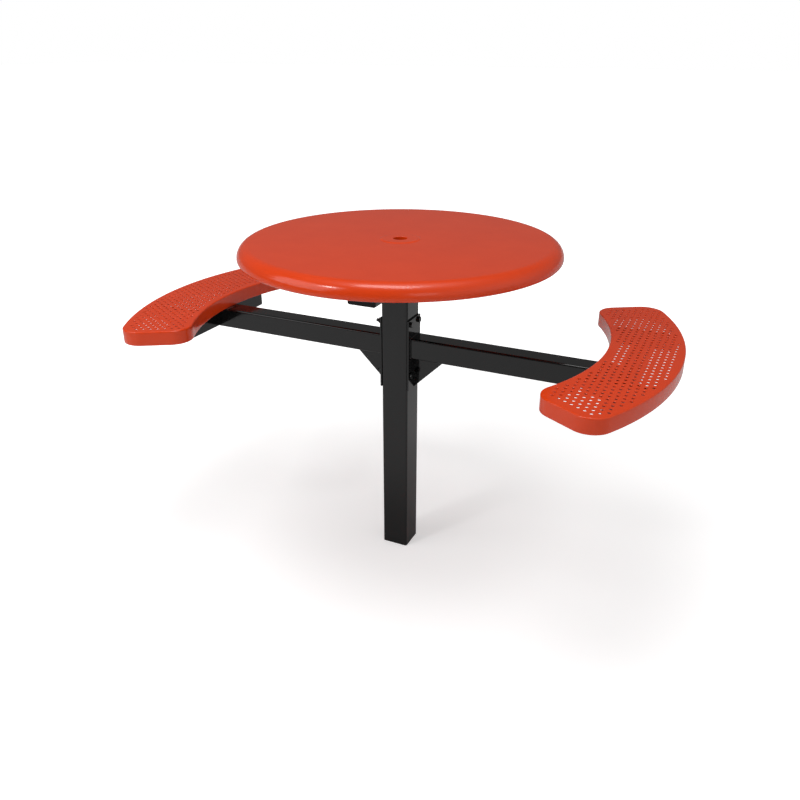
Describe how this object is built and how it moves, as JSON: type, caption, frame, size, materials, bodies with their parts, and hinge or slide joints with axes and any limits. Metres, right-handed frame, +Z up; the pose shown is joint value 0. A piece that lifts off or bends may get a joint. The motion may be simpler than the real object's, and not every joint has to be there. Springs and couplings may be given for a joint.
{
  "type": "in-ground pedestal table with attached curved seats",
  "caption": "Round outdoor table with a rolled rim and umbrella hole on one square in-ground post, with two curved perforated seats carried on arms bolted to the post",
  "frame": {"origin": "Centre of the post's lower, buried end. The ground line is 0.5202 m above it.", "axes": "+Z up along the post, X along the two arms with the right seat at +X, Y along the beam under the top."},
  "size_m": [2.0348, 1.163, 1.287],
  "materials": {
    "coating": "thick satin thermoplastic coating over steel",
    "frame": "satin black powder coat",
    "caps": "matte black moulded caps",
    "fasteners": "black coated steel"
  },
  "bodies": {
    "root": {"table_top": "coating", "left_seat": "coating", "right_seat": "coating", "post": "frame", "top_support_beam": "frame", "left_arm": "frame", "right_arm": "frame", "left_flange_plate": "frame", "right_flange_plate": "frame", "left_gusset": "frame", "right_gusset": "frame", "left_cross_member": "frame", "right_cross_member": "frame", "front_mounting_pad": "frame", "rear_mounting_pad": "frame", "front_top_stiffener": "frame", "rear_top_stiffener": "frame", "left_front_seat_bracket": "frame", "left_rear_seat_bracket": "frame", "right_front_seat_bracket": "frame", "right_rear_seat_bracket": "frame", "left_front_seat_bar": "frame", "left_rear_seat_bar": "frame", "right_front_seat_bar": "frame", "right_rear_seat_bar": "frame", "beam_end_caps": "caps", "cross_member_caps": "caps", "flange_bolts": "fasteners", "flange_nuts": "fasteners", "top_bolts": "fasteners", "top_nuts": "fasteners", "seat_bolts": "fasteners"}
  },
  "joints": []
}
